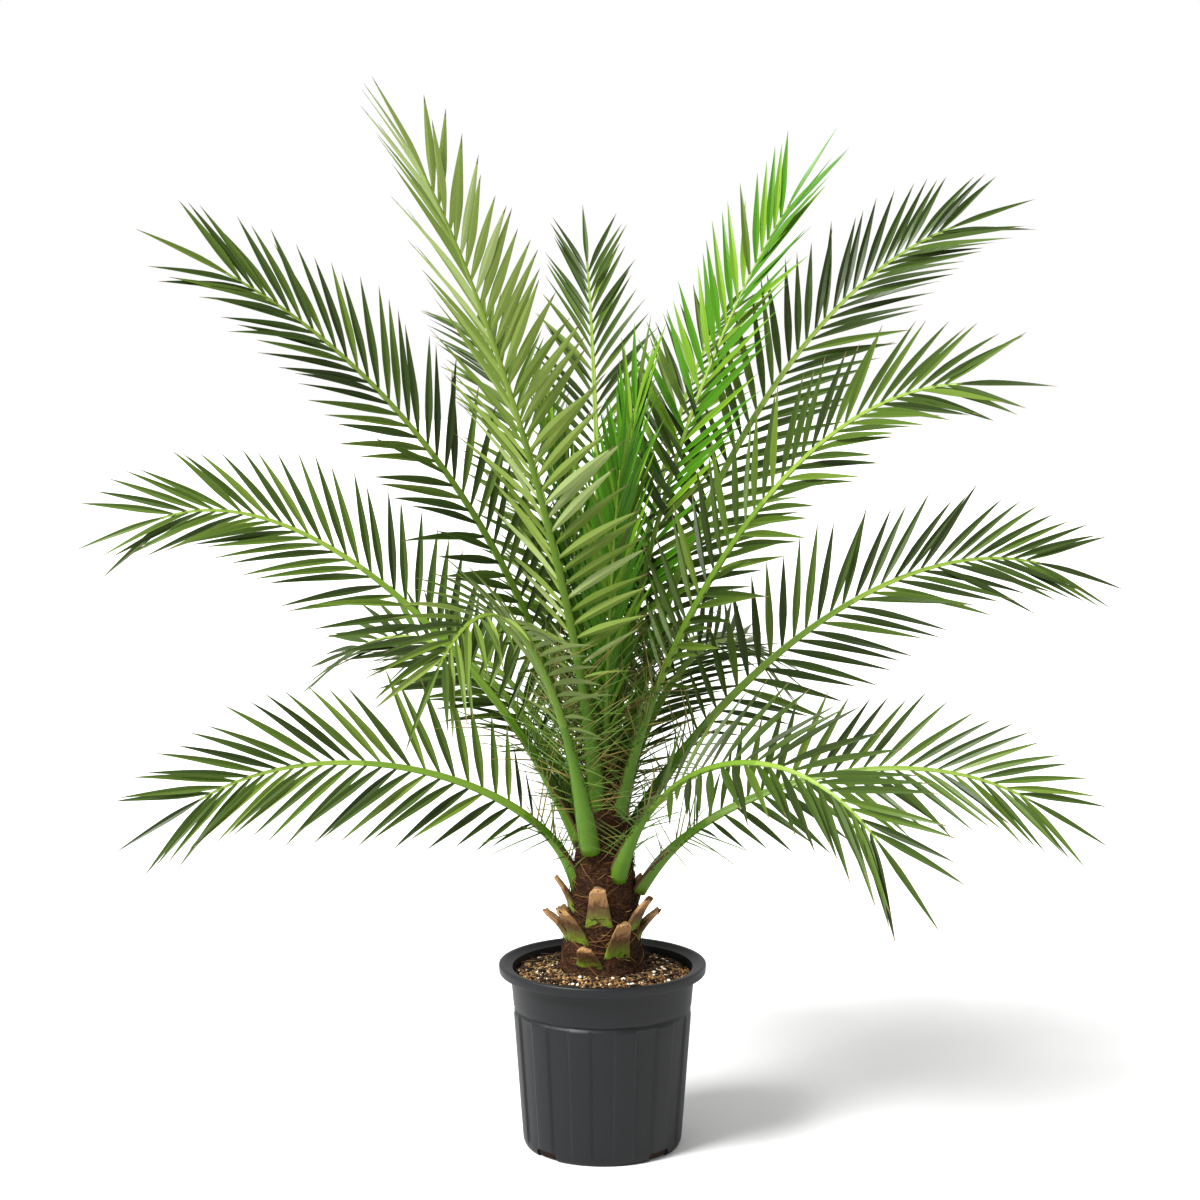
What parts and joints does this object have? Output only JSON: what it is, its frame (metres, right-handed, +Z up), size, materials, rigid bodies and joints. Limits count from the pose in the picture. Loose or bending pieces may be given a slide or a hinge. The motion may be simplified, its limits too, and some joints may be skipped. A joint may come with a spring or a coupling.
{
  "type": "potted date palm",
  "caption": "Young feather palm with arching pinnate fronds on a short fibrous trunk with cut leaf bases, in a round fluted nursery pot.",
  "frame": {"origin": "centre of the pot's flat underside", "axes": "+Z up along the trunk, +X to the right and +Y away from the viewer of the picture"},
  "size_m": [1.5136, 1.3167, 1.4779],
  "materials": {
    "pot": "satin",
    "soil": "matte",
    "trunk": "matte",
    "leaf_base": "matte",
    "frond": "satin",
    "young_frond": "satin"
  },
  "bodies": {
    "root": {"frond_back_centre": "frond", "frond_back_left_lower": "frond", "frond_back_left_upper": "frond", "frond_back_right_lower": "frond", "frond_back_right_upper": "frond", "frond_front_arching_lower": "frond", "frond_front_arching_upper": "frond", "frond_front_tall": "frond", "frond_heart_front": "young_frond", "frond_heart_left": "young_frond", "frond_heart_right": "young_frond", "frond_left_low_lower": "frond", "frond_left_low_upper": "frond", "frond_left_middle_lower": "frond", "frond_left_middle_upper": "frond", "frond_left_upper": "frond", "frond_rear_left_low_lower": "frond", "frond_rear_left_low_upper": "frond", "frond_rear_left_upper": "frond", "frond_rear_low_lower": "frond", "frond_rear_low_upper": "frond", "frond_rear_middle_lower": "frond", "frond_rear_middle_upper": "frond", "frond_rear_right_low_lower": "frond", "frond_rear_right_low_upper": "frond", "frond_rear_right_upper": "frond", "frond_right_front": "frond", "frond_right_inner": "young_frond", "frond_right_low_front_lower": "frond", "frond_right_low_front_upper": "frond", "frond_right_low_lower": "frond", "frond_right_low_upper": "frond", "frond_right_middle_lower": "frond", "frond_right_middle_upper": "frond", "frond_right_upper": "frond", "leaf_base_01": "leaf_base", "leaf_base_02": "leaf_base", "leaf_base_03": "leaf_base", "leaf_base_04": "leaf_base", "leaf_base_05": "leaf_base", "leaf_base_06": "leaf_base", "leaf_base_07": "leaf_base", "leaf_base_08": "leaf_base", "leaf_base_09": "leaf_base", "leaf_base_10": "leaf_base", "leaf_base_11": "leaf_base", "leaf_base_12": "leaf_base", "pot": "pot", "soil": "soil", "trunk": "trunk"}
  },
  "joints": []
}
